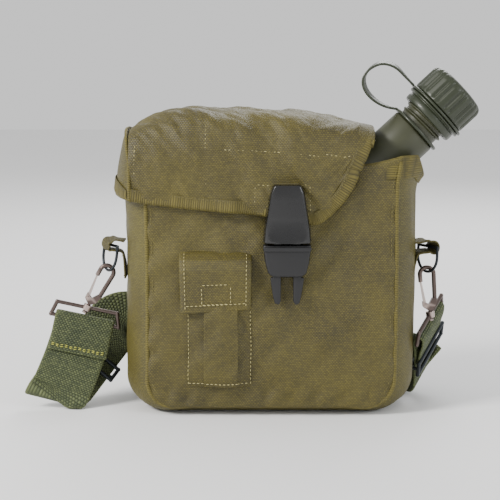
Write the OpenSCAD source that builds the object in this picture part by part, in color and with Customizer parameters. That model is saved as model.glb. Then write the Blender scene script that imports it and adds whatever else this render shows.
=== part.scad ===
// Collapsible two-litre canteen in a nylon carrying cover with a webbing shoulder strap.
// Millimetres. +Z is up, the front panel faces -Y, and the origin is the middle of the base.

/* [Cover] */
// Width of the cover across its side gussets
cover_w = 214; // [208:1:216]
// Depth of the cover from front panel to back panel
cover_d = 76; // [74:1:78]
// Height of the open rim above the floor
rim_z = 190; // [186:1:192]
// Radius of the rounded bottom corners
corner_r = 28; // [24:1:34]
// Thickness of the nylon shell
nylon_t = 1.5; // [1.2:0.1:1.6]
// Thickness of the pile lining
pile_t = 2.5; // [1.5:0.1:2.6]

/* [Flap] */
// Highest point of the flap over the canteen
flap_top = 228; // [226:1:234]
// Thickness of the flap cloth
flap_t = 2; // [1.4:0.1:2]
// Thickness of the flap lining
flap_lining_t = 1.2; // [0.8:0.1:1.3]

/* [Clip] */
// Sideways position of the closing clip
clip_x = 12.5; // [8:0.5:18]
// Height of the parting line between the clip halves
clip_z = 132; // [130:0.5:133]

/* [Pocket] */
// Sideways position of the pocket centre
pocket_x = -37.5; // [-42:0.5:-36]
// Width of the pocket body
pocket_w = 47; // [42:1:50]
// Depth of the pocket body
pocket_d = 9.5; // [8:0.5:9.5]

/* [Canteen] */
// Radius of the soft bottle's rounded edges, half of its thickness
bladder_r = 30; // [27:0.5:30]
// Wall of the soft bottle
bladder_wall = 1.6; // [1.2:0.1:2.2]
// Lean of the neck from upright, toward +X
neck_lean = 47; // [46:0.5:48]
// Bore of the neck
neck_bore_r = 14; // [12:0.5:14.5]
// Rise of the cap thread in one turn
thread_pitch = 5; // [4.5:0.5:5]

/* [Strap] */
// Width of the shoulder strap webbing
strap_w = 46; // [42:1:46]
// Thickness of the shoulder strap webbing
strap_t = 2.4; // [1.8:0.1:2.5]

/* [Hardware] */
// Radius of the ring wire
ring_wire_r = 1.1; // [0.9:0.1:1.2]
// Radius of the hook's round bar
hook_bar_r = 1.7; // [1.4:0.1:1.8]
// Radius of the strap loop and slide wire
loop_wire_r = 1.5; // [1.2:0.1:1.5]

/* [Hidden] */
$fa = 4;
$fs = 0.6;
front_y = -cover_d / 2;
back_y = cover_d / 2;
inner_w = cover_w - 2 * nylon_t;
inner_r = corner_r - nylon_t;
lined_w = inner_w - 2 * pile_t;
lined_r = inner_r - pile_t;
piping_d = 2.5;
binding_t = 1.2;
binding_h = 8;
flap_left = -115.5;
flap_right = 76;
flap_front = front_y - 6.5;
flap_back = back_y + 2.5;
hinge_z = rim_z + 3;
flap_round = 26;
slot_y = front_y - 10.5;
slot_d = 5.4;
prong_t = 4.5;
prong_x = 7.3;
prong_pivot_z = clip_z + 5;
pocket_z = 23;
pocket_top = 118;
pocket_wall = 1.2;
pocket_hinge = [front_y - 1.3, 125.6];
neck_at = [125.4, 0, 226.9];
neck_r = 19;
thread_r = 17.6;
thread_off = 1;
thread_gap = 0.5;
eye_gap = 0.7;
knuckle_r = loop_wire_r + 0.15;
d_bar_l = 24;
d_arc_r = 12;
d_leg = 7.7;
tab_w = 20;
hook_arc_r = 5.3;
left_lean = 29.3;
right_lean = -6;
ring_yaw = 30;
left_bar = [-121.5, 0, 124.5];
left_d_lean = 8;
right_bar = [122, 0, 123.5];
right_d_lean = 2;
left_hook_at = [-125.2, 0, 103.2];
right_hook_at = [121.5, 0, 101.7];
left_loop_at = [-142.9, 0, 65.3];
left_loop_turn = [0, 12, 0];
left_run_turn = [-18, 12, 0];
left_back_at = [-156, -6, 18];
left_back_turn = [-45.9, 40.5, 0];
left_back_l = 72;
right_run_turn = [16.9, -30.0, 58.7];
right_loop_at = [124.8, 5.5, 62.2];

// ---------- shared shapes ----------

// A straight round bar between two points
module rod(p, q, r) {
  d = q - p;
  l = norm(d);
  translate(p)
    rotate([0, acos(d[2] / l), atan2(d[1], d[0])])
      cylinder(r = r, h = l);
}

// A front-view outline given thickness from y0 toward +Y
module slab(y0, t) {
  translate([0, y0 + t, 0])
    rotate([90, 0, 0])
      linear_extrude(t)
        children();
}

// A side-view outline (Y, Z) drawn out along X
module prism(x0, l) {
  translate([x0, 0, 0])
    rotate([90, 0, 90])
      linear_extrude(l)
        children();
}

// The cover seen from the front: square top, rounded bottom corners
module outline(w, h, r) {
  translate([-w / 2 + r, 0])
    square([w - 2 * r, h]);
  translate([-w / 2, r])
    square([w, h - r]);
  translate([-w / 2 + r, r])
    circle(r);
  translate([w / 2 - r, r])
    circle(r);
}

// ---------- cover shell, lining and trim ----------

module cover_front() {
  color("olivedrab")
    slab(front_y, nylon_t)
      translate([0, nylon_t])
        outline(inner_w, rim_z - nylon_t, inner_r);
}

module cover_back() {
  color("olivedrab")
    slab(back_y - nylon_t, nylon_t)
      translate([0, nylon_t])
        outline(inner_w, rim_z - nylon_t, inner_r);
}

// Dip in the rim where the neck of the canteen leans out over it
module neck_dip() {
  at_neck()
    translate([0, 0, -66])
      cylinder(r = neck_r + 0.6, h = 60);
}

module cover_gusset() {
  color("olivedrab")
    difference() {
      slab(front_y + nylon_t, cover_d - 2 * nylon_t)
        difference() {
          outline(cover_w, rim_z, corner_r);
          translate([0, nylon_t])
            outline(inner_w, rim_z, inner_r);
        }
      neck_dip();
    }
}

module lining_panel(y0) {
  color("darkkhaki")
    slab(y0, pile_t)
      translate([0, nylon_t])
        outline(inner_w, rim_z - nylon_t - 5, inner_r);
}

module lining_front() {
  lining_panel(front_y + nylon_t);
}

module lining_back() {
  lining_panel(back_y - nylon_t - pile_t);
}

module lining_gusset() {
  color("darkkhaki")
    difference() {
      slab(front_y + nylon_t + pile_t, cover_d - 2 * nylon_t - 2 * pile_t)
        translate([0, nylon_t])
          difference() {
            outline(inner_w, rim_z - nylon_t - 5, inner_r);
            translate([0, pile_t])
              outline(lined_w, rim_z, lined_r);
          }
      neck_dip();
    }
}

module piping(y0) {
  color("darkolivegreen")
    slab(y0, piping_d)
      difference() {
        outline(cover_w, rim_z - 8.2, corner_r);
        translate([0, nylon_t])
          outline(inner_w, rim_z, inner_r);
      }
}

module piping_front() {
  piping(front_y + nylon_t - piping_d);
}

module piping_back() {
  piping(back_y - nylon_t);
}

// Folded tape over the rim, round the front and both sides
module rim_binding() {
  color("olive")
    difference() {
      translate([-cover_w / 2 - binding_t, front_y - binding_t, rim_z - binding_h])
        cube([cover_w + 2 * binding_t, cover_d - 2, binding_h + binding_t]);
      translate([-cover_w / 2, front_y, rim_z - binding_h - 1])
        cube([cover_w, cover_d, binding_h + 1]);
      translate([-lined_w / 2, front_y + 4, rim_z - 1])
        cube([lined_w, cover_d, 4]);
      neck_dip();
    }
}

// ---------- flap ----------

// Front view of the flap, lowered by t along its top; open sides run past by s
module flap_face(t, s) {
  polygon([[flap_left + 2 - s, 163 - s], [flap_left + 2 - s, 211 - t], [-104, 217 - t],
    [-80, 225 - t], [-50, flap_top - t], [0, flap_top - 1.5 - t], [40, 222 - t],
    [flap_right + s, 217 - t], [flap_right - 4 + s, 193], [64 + s, 174 - s], [50 + s, 158 - s],
    [35, 147 - s], [10, 148.5 - s], [-6, 151 - s], [-60, 157 - s]]);
}

// Side view of the flap, inset by t
module flap_side_view(t, bottom) {
  y0 = flap_front + t;
  y1 = flap_back - t;
  r = flap_round - t;
  z1 = flap_top - t;
  translate([y0, bottom])
    square([y1 - y0, z1 - r - bottom]);
  translate([y0 + r, z1 - r - 1])
    square([y1 - y0 - 2 * r, r + 1]);
  translate([y0 + r, z1 - r])
    circle(r);
  translate([y1 - r, z1 - r])
    circle(r);
}

module flap_solid(t, s) {
  intersection() {
    prism(flap_left - 5, 220)
      flap_side_view(t, 120);
    slab(flap_front - 5, cover_d + 20)
      flap_face(t, s);
  }
}

// Takes off the back of the flap below its hinge line
module below_hinge(y0, z) {
  translate([-150, y0, 100])
    cube([300, 80, z - 100]);
}

module flap_panel() {
  color("olivedrab")
    difference() {
      flap_solid(0, 0);
      flap_solid(flap_t, 20);
      below_hinge(front_y + 8, hinge_z + 0.4);
    }
}

module flap_lining() {
  color("darkkhaki")
    difference() {
      intersection() {
        flap_solid(flap_t, 0);
        translate([flap_left + 2, -60, 163])
          cube([flap_right - flap_left - 8, 120, 90]);
      }
      flap_solid(flap_t + flap_lining_t, 20);
      below_hinge(front_y + 8, hinge_z + 4);
    }
}

module flap_side() {
  color("olivedrab")
    prism(flap_left, 2)
      difference() {
        intersection() {
          flap_side_view(0, 160);
          translate([-60, 160])
            square([120, 51]);
        }
        translate([front_y + 30, 150])
          rotate(18)
            square([90, 40]);
        translate([front_y + 50, 150])
          square([60, hinge_z + 0.4 - 150]);
      }
}

module flap_binding() {
  color("olive")
    slab(flap_front - 1.1, 1.1)
      difference() {
        flap_face(8, 0);
        translate([-3, binding_h])
          flap_face(-30, 0);
      }
}

// ---------- clip ----------

// Folded webbing that holds the lower half off the front panel
module clip_anchor() {
  color("olive")
    translate([clip_x - 13, front_y - 4, clip_z - 26])
      cube([26, 4, 28]);
}

// Lower half: a sleeve that the two prongs pass right through
module clip_female() {
  color("dimgray")
    difference() {
      slab(front_y - 16, 12)
        translate([clip_x, clip_z - 24.5])
          polygon([[-18.3, 24.2], [18.3, 24.2], [16.6, 10], [14.3, 3.5], [11.2, 0],
            [-11.2, 0], [-14.3, 3.5], [-16.6, 10]]);
      translate([clip_x - 11.2, slot_y - slot_d / 2, clip_z - 30])
        cube([22.4, slot_d, 40]);
    }
}

// Webbing tab that holds the upper half to the flap
module clip_strap() {
  color("olive")
    translate([clip_x - 12, flap_front - 1.5, clip_z + 26])
      cube([24, 1.5, 22]);
}

// Upper half, with a thumb hollow and a pocket for the prong roots
module clip_male() {
  color("black")
    difference() {
      slab(front_y - 18.5, 10.5)
        translate([clip_x, clip_z])
          polygon([[-18.3, 0.3], [18.3, 0.3], [12.6, 41], [10.5, 44], [-10.5, 44],
            [-12.6, 41]]);
      translate([clip_x - 12, slot_y - slot_d / 2, clip_z])
        cube([24, slot_d + 4, 9]);
      translate([clip_x, front_y - 17, clip_z - 1])
        rotate([90, 0, 0])
          cylinder(r = 9, h = 4);
    }
}

module prong(side) {
  color("black")
    slab(slot_y - prong_t / 2, prong_t)
      translate([clip_x, clip_z - 45.6])
        polygon([[side * 4.6, 52.4], [side * 10, 52.4], [side * 10, 20.6],
          [side * 12.8, 20.6], [side * 12.2, 16], [side * 9.6, 4], [side * 7.5, 0],
          [side * 5.6, 0.6], [side * 4.6, 3]]);
}

module prong_left() {
  prong(-1);
}

module prong_right() {
  prong(1);
}

// ---------- pocket ----------

// Open-topped pouch whose back is the cover's front panel
module pocket_body() {
  color("olivedrab")
    difference() {
      translate([pocket_x - pocket_w / 2, front_y - pocket_d, pocket_z])
        cube([pocket_w, pocket_d, pocket_top - pocket_z]);
      translate([pocket_x - pocket_w / 2 + pocket_wall, front_y - pocket_d + pocket_wall,
          pocket_z + pocket_wall])
        cube([pocket_w - 2 * pocket_wall, pocket_d, pocket_top]);
    }
}

module loop_patch() {
  color("darkolivegreen")
    translate([pocket_x - 12, front_y - pocket_d - 0.6, 86])
      cube([24, 0.6, 14]);
}

module pocket_flap() {
  color("olivedrab")
    prism(pocket_x - 30.1, 54.3)
      polygon([[front_y - 1.3, 126.4], [front_y - 12.6, 120.5], [front_y - 12.6, 80.7],
        [front_y - 11.1, 80.7], [front_y - 11.1, 119.6], [front_y - 1.3, 124.8]]);
}

module hook_patch() {
  color("darkolivegreen")
    translate([pocket_x - 12, front_y - 11.1, 86])
      cube([24, 0.7, 14]);
}

// ---------- canteen ----------

// Pillow shape: a slab with every edge and corner rounded to half its thickness
module pillow(r) {
  for (x = [-65, 65])
    for (z = [35, 170])
      translate([x, 0, z])
        sphere(r = r);
  for (z = [35, 170])
    rod([-65, 0, z], [65, 0, z], r);
  for (x = [-65, 65])
    rod([x, 0, 35], [x, 0, 170], r);
  translate([-65, -r, 35])
    cube([130, 2 * r, 135]);
}

module at_neck() {
  translate(neck_at)
    rotate([0, neck_lean, 0])
      children();
}

// Thread zone of the neck, drawn as parallel ridges one pitch apart
module thread_ridges(z0, z1, r) {
  for (z = [z0:thread_pitch:z1 - 1])
    translate([0, 0, z])
      rotate_extrude()
        polygon([[0, 0], [r - 1, 0], [r + 1, 1.2], [r + 1, 2], [r - 1, 3.2], [0, 3.2]]);
}

module bladder() {
  color("darkslategray")
    difference() {
      union() {
        pillow(bladder_r);
        at_neck() {
          translate([0, 0, -76])
            cylinder(r = neck_r, h = 54.5);
          translate([0, 0, -22])
            cylinder(r = thread_r - thread_off, h = 40);
          thread_ridges(-16, 14, thread_r);
        }
      }
      pillow(bladder_r - bladder_wall);
      at_neck()
        translate([0, 0, -76])
          cylinder(r = neck_bore_r, h = 100);
    }
}

module cap() {
  color("darkolivegreen")
    at_neck()
      difference() {
        union() {
          translate([0, 0, -9])
            cylinder(r = 22.5, h = 6);
          translate([0, 0, -9])
            cylinder(r = 21.8, h = 12);
          translate([0, 0, -2])
            cylinder(r = 24.8, h = 1.5);
          translate([0, 0, 2.4])
            cylinder(r = 24, h = 21);
          translate([0, 0, 23.4])
            cylinder(r1 = 24, r2 = 21, h = 3);
        }
        translate([0, 0, -9.5])
          cylinder(r = thread_r + 1 + thread_gap, h = 12.5);
        translate([0, 0, 2.9])
          cylinder(r = 19.4, h = 17.5);
        for (i = [0:11])
          rotate(30 * i)
            translate([27.6, 0, 4.6])
              cylinder(r = 4.6, h = 18);
      }
}

module cap_seal() {
  color("black")
    at_neck()
      translate([0, 0, 18.3])
        cylinder(r = 18.5, h = 2.1);
}

// Lower ring of the cap retainer, loose round the neck
module neck_ring() {
  color("darkolivegreen")
    at_neck()
      translate([0, 0, -21])
        difference() {
          cylinder(r = 21.5, h = 2.2);
          translate([0, 0, -1])
            cylinder(r = 16.9, h = 5);
        }
}

// Upper ring of the retainer, loose in the groove of the cap
module cap_ring() {
  color("darkolivegreen")
    at_neck()
      difference() {
        cylinder(r = 25.6, h = 2);
        translate([0, 0, -1])
          cylinder(r = 22.1, h = 5);
      }
}

// Flat band between the two retainer rings, standing out as a loop
module cap_band() {
  color("darkolivegreen")
    slab(-4, 8) {
      difference() {
        translate([92, 247])
          circle(15);
        translate([92, 247])
          circle(13.2);
        translate([92, 247])
          rotate(-76)
            square([40, 40]);
        translate([92, 247])
          rotate(-25)
            square([40, 40]);
      }
      translate([97.6, 259.2])
        rotate(-55)
          square([15.6, 1.8]);
      translate([94.3, 230.2])
        square([1.8, 4]);
    }
}

// ---------- side tabs and rings ----------

// Webbing folded round the ring's bar, with both tails sewn to the gusset
module tab(bar, side) {
  color("olive") {
    difference() {
      translate(bar)
        rotate([0, 0, ring_yaw])
          slab(-tab_w / 2, tab_w)
            difference() {
              union() {
                circle(4.2);
                translate([side > 0 ? -26 : 0, 1.9])
                  square([26, 2]);
              }
              circle(2.2);
            }
      translate([-cover_w / 2 - 0.8, -60, 60])
        cube([cover_w + 1.6, 120, 100]);
    }
    translate([side > 0 ? cover_w / 2 : -cover_w / 2 - 1.6, -tab_w / 2, bar[2] - 24])
      cube([1.6, tab_w, 29]);
  }
}

module tab_left() {
  tab(left_bar, -1);
}

module tab_right() {
  tab(right_bar, 1);
}

// D-shaped wire ring: straight bar at the origin, bow hanging below
module d_ring() {
  h = d_bar_l / 2;
  rod([0, -h, 0], [0, h, 0], ring_wire_r);
  rod([0, -h, 0], [0, -h, -d_leg], ring_wire_r);
  rod([0, h, 0], [0, h, -d_leg], ring_wire_r);
  translate([0, -h, 0])
    sphere(ring_wire_r);
  translate([0, h, 0])
    sphere(ring_wire_r);
  translate([0, 0, -d_leg])
    rotate([0, 90, 0])
      rotate([0, 0, -90])
        rotate_extrude(angle = 180)
          translate([d_arc_r, 0])
            circle(ring_wire_r);
}

module ring_left() {
  color("dimgray")
    translate(left_bar)
      rotate([0, left_d_lean, ring_yaw])
        d_ring();
}

module ring_right() {
  color("dimgray")
    translate(right_bar)
      rotate([0, right_d_lean, ring_yaw])
        d_ring();
}

// ---------- snap hooks ----------
// Drawn upright: bow centre at the origin, gate on -X, swivel pin pointing down

module snap_hook() {
  difference() {
    union() {
      rotate([90, 0, 0])
        rotate_extrude(angle = 180)
          translate([hook_arc_r, 0])
            circle(hook_bar_r);
      rod([-hook_arc_r, 0, 0], [-hook_arc_r, 0, -5.5], hook_bar_r);
      rod([hook_arc_r, 0, 0], [hook_arc_r - 1, 0, -21], hook_bar_r);
      slab(-2.3, 4.6)
        polygon([[-5.4, -21], [-0.5, -23.5], [2.4, -19], [6, -19], [4.4, -25], [1.6, -28],
          [-1.6, -28], [-5.4, -25]]);
      translate([0, 0, -35])
        cylinder(r = 1.3, h = 8.1);
      translate([0, 0, -36.4])
        cylinder(r = 2.1, h = 1.6);
    }
    translate([-6.5, -1.5, -26.4])
      cube([5.2, 3, 9]);
    translate([-3.4, 5, -24])
      rotate([90, 0, 0])
        cylinder(r = 0.9, h = 10);
  }
}

module gate() {
  difference() {
    union() {
      slab(-1.2, 2.4)
        polygon([[-4.6, -24], [-6, -6], [-6.3, -5.9], [-4.6, -5.9], [-2.3, -24]]);
      translate([-3.4, 1.2, -24])
        rotate([90, 0, 0])
          cylinder(r = 1.7, h = 2.4);
    }
    translate([-3.4, 5, -24])
      rotate([90, 0, 0])
        cylinder(r = 1.2, h = 10);
  }
}

module gate_pin() {
  translate([-3.4, 3.3, -24])
    rotate([90, 0, 0])
      cylinder(r = 0.9, h = 6.6);
}

module at_left_hook() {
  translate(left_hook_at)
    rotate([0, left_lean, 0])
      children();
}

module at_right_hook() {
  translate(right_hook_at)
    rotate([0, right_lean, 0])
      children();
}

module hook_left() {
  color("gray")
    at_left_hook()
      snap_hook();
}

module hook_right() {
  color("gray")
    at_right_hook()
      snap_hook();
}

module gate_left() {
  color("silver")
    at_left_hook()
      gate();
}

module gate_right() {
  color("silver")
    at_right_hook()
      gate();
}

module gate_pin_left() {
  color("silver")
    at_left_hook()
      gate_pin();
}

module gate_pin_right() {
  color("silver")
    at_right_hook()
      gate_pin();
}

// ---------- strap loops ----------

// Bored boss the hook's swivel pin turns in, drawn in the hook's frame
module swivel_boss() {
  translate([0, 0, -33.8])
    difference() {
      cylinder(r = 3.4, h = 4.4);
      translate([0, 0, -1])
        cylinder(r = 1.7, h = 7);
    }
}

// Four-sided wire loop: strap bar at z = 0, hook bar above, gap left for the boss
module wire_loop(low_half, top_half, h) {
  rod([-low_half, 0, 0], [low_half, 0, 0], loop_wire_r);
  rod([-top_half, 0, h], [-3, 0, h], loop_wire_r);
  rod([3, 0, h], [top_half, 0, h], loop_wire_r);
  for (s = [-1, 1]) {
    rod([s * low_half, 0, 0], [s * top_half, 0, h], loop_wire_r);
    translate([s * low_half, 0, 0])
      sphere(knuckle_r);
    translate([s * top_half, 0, h])
      sphere(knuckle_r);
  }
}

module link_left() {
  color("gray") {
    translate(left_loop_at)
      rotate(left_loop_turn)
        wire_loop(strap_w / 2 + 3.6, strap_w / 2 + 0.6, 10.5);
    at_left_hook()
      swivel_boss();
  }
}

module link_right() {
  color("gray") {
    translate(right_loop_at)
      rotate(right_run_turn)
        wire_loop(strap_w / 2 + 3.6, strap_w / 2 + 0.6, 9.8);
    at_right_hook()
      swivel_boss();
  }
}

// ---------- strap ----------

// Webbing from the eye round a loop's bar (at the origin) down a straight run
module strap_run(l) {
  w = strap_w / 2;
  translate([-w, 0, 0])
    rotate([90, 0, 90])
      linear_extrude(strap_w)
        difference() {
          union() {
            circle(loop_wire_r + eye_gap + strap_t);
            translate([-strap_t / 2, -l])
              square([strap_t, l]);
          }
          circle(loop_wire_r + eye_gap);
        }
}

// Three-bar slide round a straight run: two bars in front, the middle one behind
module slide(z) {
  w = strap_w / 2 + 2.4;
  f = -strap_t / 2 - 0.5 - loop_wire_r;
  for (dz = [-6, 6]) {
    rod([-w, f, z + dz], [w, f, z + dz], loop_wire_r);
    for (s = [-1, 1])
      translate([s * w, f, z + dz])
        sphere(knuckle_r);
  }
  rod([-w, -f, z], [w, -f, z], loop_wire_r);
  for (s = [-1, 1]) {
    rod([s * w, f, z - 6], [s * w, f, z + 6], loop_wire_r);
    rod([s * w, f, z], [s * w, -f, z], loop_wire_r - 0.15);
    translate([s * w, -f, z])
      sphere(knuckle_r);
  }
}

module at_left_run() {
  translate(left_loop_at)
    rotate(left_run_turn)
      children();
}

// The strap's rising run behind the first one, from the bottom fold to the cover's corner
module at_left_back() {
  translate(left_back_at)
    rotate(left_back_turn)
      children();
}

module at_right_run() {
  translate(right_loop_at)
    rotate(right_run_turn)
      children();
}

module strap_left() {
  color("darkgreen") {
    at_left_run()
      strap_run(64);
    translate([-172, -25, 3])
      cube([36, 21.5, 4]);
    at_left_back()
      translate([-strap_w / 2, -strap_t / 2, 0])
        cube([strap_w, strap_t, left_back_l]);
    translate([-124, back_y + 6.6, 20])
      cube([43.4, strap_t, strap_w]);
  }
}

module strap_right() {
  color("darkgreen") {
    at_right_run()
      strap_run(60);
    translate([80.6, 56, 4])
      rotate([0, 0, -12])
        cube([49, strap_t, 42]);
  }
}

// The rest of the strap, gathered in folds behind the cover
module strap_bundle() {
  color("darkgreen")
    translate([-80, back_y + 4, 1])
      cube([160, 28, strap_w]);
}

module slide_left() {
  color("gray")
    at_left_back()
      slide(30);
}

module slide_right() {
  color("gray")
    at_right_run()
      slide(-27);
}

// ---------- what is drawn ----------

cover_front();
cover_back();
cover_gusset();
lining_front();
lining_back();
lining_gusset();
piping_front();
piping_back();
rim_binding();
flap_panel();
flap_side();
flap_lining();
flap_binding();
clip_anchor();
clip_female();
clip_strap();
clip_male();
prong_left();
prong_right();
pocket_body();
loop_patch();
pocket_flap();
hook_patch();
bladder();
cap();
cap_seal();
neck_ring();
cap_band();
cap_ring();
tab_left();
tab_right();
ring_left();
ring_right();
link_left();
link_right();
hook_left();
hook_right();
gate_left();
gate_right();
gate_pin_left();
gate_pin_right();
strap_left();
strap_right();
strap_bundle();
slide_left();
slide_right();
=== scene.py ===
# %% [markdown]
# # A flexible canteen in its nylon carrying cover
# The real object is a soft bottle inside a padded cover, with a clip, a pocket and a webbing strap.
# The CAD frame fixes where everything is. This script gives each piece its cloth, plastic or metal look.
# Sizes below are in millimetres and are turned into metres by the constant MM.

import bmesh
import bpy
import math
from mathutils import Matrix, Vector, noise


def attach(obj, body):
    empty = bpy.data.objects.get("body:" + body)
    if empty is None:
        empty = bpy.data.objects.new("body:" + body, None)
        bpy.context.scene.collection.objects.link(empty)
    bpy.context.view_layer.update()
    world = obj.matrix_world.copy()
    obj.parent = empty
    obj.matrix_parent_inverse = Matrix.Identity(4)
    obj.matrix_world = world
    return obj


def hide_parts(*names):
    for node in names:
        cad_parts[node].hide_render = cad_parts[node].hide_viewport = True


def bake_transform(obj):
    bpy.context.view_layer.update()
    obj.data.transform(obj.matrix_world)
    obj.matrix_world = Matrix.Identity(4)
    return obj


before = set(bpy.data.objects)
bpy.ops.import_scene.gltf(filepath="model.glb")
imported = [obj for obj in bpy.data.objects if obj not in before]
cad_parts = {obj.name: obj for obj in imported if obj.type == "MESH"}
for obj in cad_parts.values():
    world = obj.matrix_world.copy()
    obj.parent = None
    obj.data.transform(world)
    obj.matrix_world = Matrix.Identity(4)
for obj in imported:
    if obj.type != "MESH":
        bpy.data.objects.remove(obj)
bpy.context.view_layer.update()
MM = 0.001

# %% [markdown]
# ## Small tools shared by every piece
# A piece is first a bmesh. `finish_piece` turns it into an object, smooths it, rides it on its body
# and hides the CAD nodes it stands for. UVs are laid out in metres, so a weave has one scale everywhere.

# %% tools for making pieces


def lerp_table(table, x):
    """Reads a value from a short table of (x, value) points, straight between them."""
    if x <= table[0][0]:
        return table[0][1]
    for (x0, v0), (x1, v1) in zip(table, table[1:]):
        if x <= x1:
            return v0 + (v1 - v0) * (x - x0) / (x1 - x0)
    return table[-1][1]


def smooth_table(table, x):
    """The same, but eased between the points so that cloth shows no corners."""
    if x <= table[0][0]:
        return table[0][1]
    for i in range(len(table) - 1):
        x0, v0 = table[i]
        x1, v1 = table[i + 1]
        if x <= x1:
            s0 = (v1 - table[i - 1][1]) / (x1 - table[i - 1][0]) if i else (v1 - v0) / (x1 - x0)
            last = i + 2 >= len(table)
            s1 = (v1 - v0) / (x1 - x0) if last else (table[i + 2][1] - v0) / (table[i + 2][0] - x0)
            h = x1 - x0
            t = (x - x0) / h
            a = 2 * t**3 - 3 * t**2 + 1
            b = t**3 - 2 * t**2 + t
            c = -2 * t**3 + 3 * t**2
            d = t**3 - t**2
            return a * v0 + b * h * s0 + c * v1 + d * h * s1
    return table[-1][1]


def fold_noise(x, y, z, size, seed):
    """Soft random height between about -1 and 1, the same on every run."""
    return noise.noise(Vector((x / size + seed, y / size, z / size)))


def box_uv(bm):
    """Lays each face flat along the axis it faces most, in metres."""
    layer = bm.loops.layers.uv.verify()
    for face in bm.faces:
        n = face.normal
        ax = max(range(3), key=lambda i: abs(n[i]))
        for loop in face.loops:
            p = loop.vert.co
            loop[layer].uv = ((p.y, p.z), (p.x, p.z), (p.x, p.y))[ax]


def finish_piece(name, bm, material, body, stands_for=(), thick=0, levels=0, uv=True, even=True):
    """Makes the object, in metres, rides it on its body and hides the CAD nodes it stands for."""
    bmesh.ops.recalc_face_normals(bm, faces=bm.faces)
    if uv:
        bm.normal_update()
        box_uv(bm)
    mesh = bpy.data.meshes.new(name)
    for face in bm.faces:
        face.smooth = True
    bm.to_mesh(mesh)
    bm.free()
    obj = bpy.data.objects.new(name, mesh)
    bpy.context.scene.collection.objects.link(obj)
    mesh.materials.append(material)
    if thick:
        mod = obj.modifiers.new("thickness", "SOLIDIFY")
        mod.thickness = thick * MM
        mod.offset = -1
        mod.use_even_offset = even
    if levels:
        mod = obj.modifiers.new("smooth", "SUBSURF")
        mod.levels = levels
        mod.render_levels = levels
    if body:
        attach(obj, body)
    if stands_for:
        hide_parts(*stands_for)
    return obj


def grid_piece(nu, nv, place):
    """A sheet of nu by nv squares; place(u, v) gives each point in mm, u and v from 0 to 1."""
    bm = bmesh.new()
    bmesh.ops.create_grid(bm, x_segments=nu, y_segments=nv, size=1)
    for vert in bm.verts:
        u = (vert.co.x + 1) / 2
        v = (vert.co.y + 1) / 2
        vert.co = Vector(place(u, v)) * MM
    return bm


def sweep(points, radius, segments=10):
    """A round cord along points in mm, made by carrying one ring of verts along."""
    bm = bmesh.new()
    pts = [Vector(p) * MM for p in points]
    last = len(pts) - 1
    rings = []
    side = None
    for i, p in enumerate(pts):
        t = (pts[min(i + 1, last)] - pts[max(i - 1, 0)]).normalized()
        if side is None:
            side = Vector((0, 0, 1)) if abs(t.z) < 0.9 else Vector((0, 1, 0))
        side = (side - t * side.dot(t)).normalized()
        up = t.cross(side)
        frame_m = Matrix((side, up, t)).transposed().to_4x4()
        frame_m.translation = p
        ring = bmesh.ops.create_circle(bm, segments=segments, radius=radius * MM, matrix=frame_m)
        rings.append(ring["verts"])
    for r0, r1 in zip(rings, rings[1:]):
        edges = {e for v in r0 for e in v.link_edges if e.other_vert(v) in r0}
        edges |= {e for v in r1 for e in v.link_edges if e.other_vert(v) in r1}
        bmesh.ops.bridge_loops(bm, edges=list(edges))
    for ring in (rings[0], rings[-1]):
        bmesh.ops.contextual_create(bm, geom=ring)
    return bm


def smooth_path(points, steps=8):
    """Rounds a short list of points into a smooth one (Catmull-Rom)."""
    pts = [Vector(p) for p in points]
    last = len(pts) - 1
    out = []
    for i in range(last):
        p0, p1 = pts[max(i - 1, 0)], pts[i]
        p2, p3 = pts[i + 1], pts[min(i + 2, last)]
        for k in range(steps):
            t = k / steps
            out.append(0.5 * (2 * p1 + (p2 - p0) * t + (2 * p0 - 5 * p1 + 4 * p2 - p3) * t * t
                              + (3 * p1 - p0 - 3 * p2 + p3) * t**3))
    out.append(pts[-1])
    return out


# %% [markdown]
# ## Stitches
# Thread shows as short raised dashes with a dip between them. Each dash is a small six-sided bead
# laid along its seam, which catches the light the way real thread does.

# %% stitch rows


def stitch_row(name, points, material, body, pitch=3.4, length=2.5, r=0.33, lift=0.15):
    """Short dashes of thread along points (mm); each point may carry an outward direction."""
    pts = [Vector(p[:3]) for p in points]
    out = [Vector(p[3:6]) if len(p) > 3 else Vector((0, -1, 0)) for p in points]
    bm = bmesh.new()
    dist = [0.0]
    for a, b in zip(pts, pts[1:]):
        dist.append(dist[-1] + (b - a).length)

    def at(s):
        for i in range(len(pts) - 1):
            if s <= dist[i + 1]:
                k = (s - dist[i]) / max(dist[i + 1] - dist[i], 1e-6)
                return pts[i].lerp(pts[i + 1], k), out[i].lerp(out[i + 1], k)
        return pts[-1], out[-1]

    s = pitch / 2
    while s < dist[-1] - length / 2:
        a, n = at(s - length / 2)
        b, _ = at(s + length / 2)
        t = (b - a).normalized()
        n = n.normalized()
        side = t.cross(n).normalized()
        m = Matrix((side, n, t)).transposed().to_4x4()
        m.translation = ((a + b) / 2 + n * lift) * MM
        m = m @ Matrix.Diagonal((r * MM, r * MM, length / 2 * MM, 1))
        bmesh.ops.create_icosphere(bm, subdivisions=1, radius=1, matrix=m)
        s += pitch
    return finish_piece(name, bm, material, body)


# %% [markdown]
# ## Materials
# All patterns are procedural. Woven cloth shares one node group that gives a height and a thread mask
# from the piece's own UV, which is laid out in metres. The colours stay in each material.

# %% shared weave group


def math_node(tree, op, a, b=None, c=None):
    n = tree.nodes.new("ShaderNodeMath")
    n.operation = op
    for i, v in enumerate((a, b, c)):
        if v is None:
            continue
        if isinstance(v, (int, float)):
            n.inputs[i].default_value = v
        else:
            tree.links.new(v, n.inputs[i])
    return n.outputs[0]


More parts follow.
